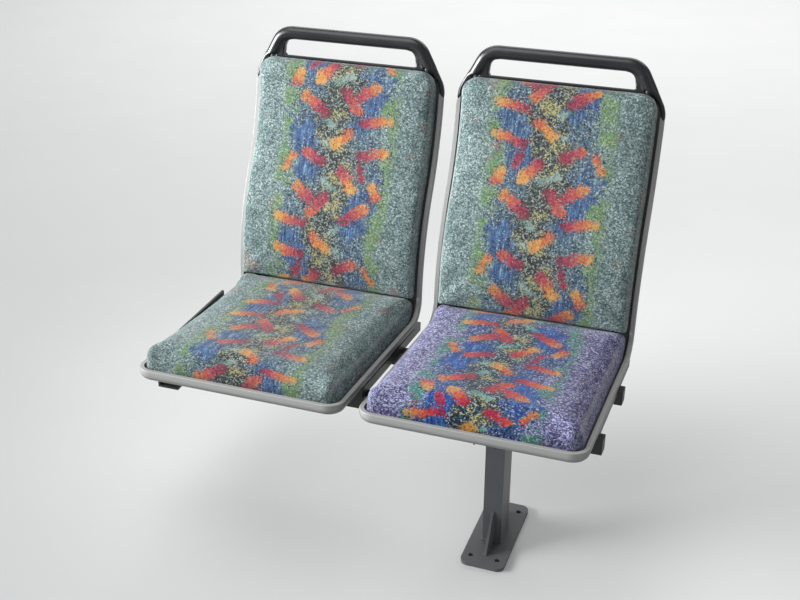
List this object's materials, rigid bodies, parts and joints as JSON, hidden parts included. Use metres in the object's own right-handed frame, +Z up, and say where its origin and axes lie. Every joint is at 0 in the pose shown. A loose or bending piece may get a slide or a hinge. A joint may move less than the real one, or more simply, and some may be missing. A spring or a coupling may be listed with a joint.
{
  "type": "double passenger bus seat",
  "caption": "Fixed double passenger seat for a city bus: cloth pads in moulded shells with black grab handles, on a cantilever beam frame with a floor leg and a wall bracket.",
  "frame": {"origin": "centre of the leg's foot plate on the floor, below the middle of the aisle seat", "axes": "+Z up; the seat faces -Y; +X towards the aisle, -X towards the bus wall"},
  "size_m": [0.929, 0.6421, 0.9389],
  "materials": {
    "moquette_green": "wool moquette, grey-green speckle with a coloured brush-stroke stripe",
    "moquette_violet": "wool moquette, violet speckle with a coloured brush-stroke stripe",
    "shell_grey": "fine moulded grain",
    "handle_black": "satin, worn smoother on the bar",
    "cap_black": "moulded",
    "frame_black": "black powder coat",
    "leg_grey": "dark grey powder coat, scuffed near the floor"
  },
  "bodies": {
    "root": {"back_pad_window": "moquette_green", "back_pad_aisle": "moquette_green", "squab_pad_window": "moquette_green", "squab_pad_aisle": "moquette_violet", "seat_shell_window": "shell_grey", "seat_shell_aisle": "shell_grey", "grab_handle_window": "handle_black", "grab_handle_aisle": "handle_black", "rail_caps_window": "cap_black", "rail_caps_aisle": "cap_black", "beam_cap_front": "cap_black", "beam_cap_rear": "cap_black", "side_frame_left_window": "frame_black", "side_frame_right_window": "frame_black", "side_frame_left_aisle": "frame_black", "side_frame_right_aisle": "frame_black", "beam_front": "frame_black", "beam_rear": "frame_black", "leg_saddle": "frame_black", "wall_bracket": "frame_black", "leg_post": "leg_grey", "leg_foot": "leg_grey", "leg_gussets": "leg_grey"}
  },
  "joints": []
}
